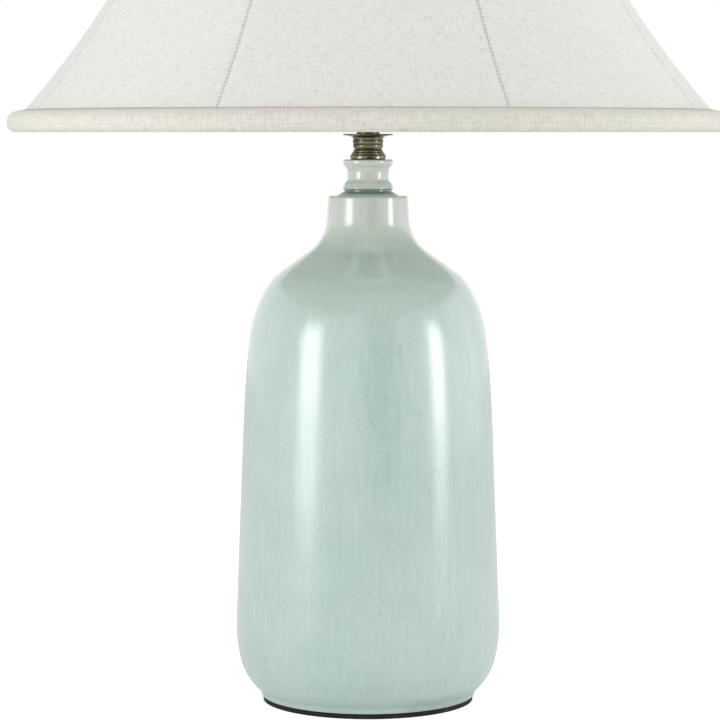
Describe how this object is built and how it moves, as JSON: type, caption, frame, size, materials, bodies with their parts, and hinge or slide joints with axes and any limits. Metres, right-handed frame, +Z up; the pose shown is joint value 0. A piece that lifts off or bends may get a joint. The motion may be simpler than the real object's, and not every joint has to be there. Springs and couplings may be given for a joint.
{
  "type": "table_lamp",
  "caption": "Tall jar-shaped table lamp: crackle-glazed celadon body, spool neck with brass fitting, harp and a gored bell shade in pale cloth",
  "frame": {"origin": "centre of the base pad's underside, on the table", "axes": "+X to the right as seen from the front, +Y to the back where the cord comes in, +Z up"},
  "size_m": [0.4, 0.4, 0.5414],
  "materials": {
    "dark_foam": "matte",
    "celadon_glaze": "gloss",
    "black_rubber": "matte",
    "zinc_steel": "satin",
    "antique_brass": "satin",
    "lamp_brass": "satin",
    "liner_card": "matte",
    "black_phenolic": "satin",
    "bulb_metal": "satin",
    "frosted_glass": "matte",
    "black_glass": "gloss",
    "shade_wire": "satin",
    "shade_fabric": "matte",
    "shade_lining_fabric": "matte",
    "hem_fabric": "matte"
  },
  "bodies": {
    "root": {"base_pad": "dark_foam", "ceramic_jar": "celadon_glaze", "cord_grommet": "black_rubber", "floor_washer_rubber": "black_rubber", "floor_washer_steel": "zinc_steel", "floor_lock_washer": "zinc_steel", "floor_nut": "zinc_steel", "neck_gasket": "dark_foam", "brass_neck": "antique_brass", "harp_saddle": "lamp_brass", "threaded_rod": "zinc_steel", "socket_cap": "lamp_brass", "cap_set_screw": "zinc_steel", "socket_shell": "lamp_brass", "socket_liner": "liner_card", "switch_core": "black_phenolic", "terminal_screws": "lamp_brass", "screw_shell": "bulb_metal", "center_contact": "lamp_brass"},
    "switch": {"switch_key": "black_phenolic"},
    "bulb": {"bulb_glass": "frosted_glass", "bulb_base": "bulb_metal", "bulb_insulator": "black_glass", "bulb_contact": "bulb_metal"},
    "harp": {"harp_wire": "lamp_brass", "harp_stud": "lamp_brass"},
    "sleeve_right_body": {"sleeve_right": "lamp_brass"},
    "sleeve_left_body": {"sleeve_left": "lamp_brass"},
    "shade": {"shade_top_ring": "shade_wire", "shade_bottom_ring": "shade_wire", "shade_ribs": "shade_wire", "spider_hub": "lamp_brass", "spider_arms": "lamp_brass", "shade_cover": "shade_fabric", "shade_lining": "shade_lining_fabric", "shade_bottom_hem": "hem_fabric", "shade_top_trim": "hem_fabric"},
    "finial_body": {"finial": "antique_brass"}
  },
  "joints": [
    {"name": "switch_turn", "type": "hinge", "parent": "root", "child": "switch", "pos_m": [0, -0.02, 0.3477], "axis": [0, -1, 0], "continuous": true},
    {"name": "bulb_unscrew", "type": "slide", "parent": "root", "child": "bulb", "axis": [0, 0, 1], "range_m": [0, 0.03]},
    {"name": "harp_lift", "type": "slide", "parent": "root", "child": "harp", "axis": [0, 0, 1], "range_m": [0, 0.018]},
    {"name": "sleeve_right_slide", "type": "slide", "parent": "harp", "child": "sleeve_right_body", "axis": [0, 0, 1], "range_m": [0, 0.016]},
    {"name": "sleeve_left_slide", "type": "slide", "parent": "harp", "child": "sleeve_left_body", "axis": [0, 0, 1], "range_m": [0, 0.016]},
    {"name": "shade_turn", "type": "hinge", "parent": "harp", "child": "shade", "pos_m": [0, 0, 0.51], "axis": [0, 0, 1], "continuous": true},
    {"name": "finial_unscrew", "type": "slide", "parent": "harp", "child": "finial_body", "axis": [0, 0, 1], "range_m": [0, 0.013]}
  ]
}
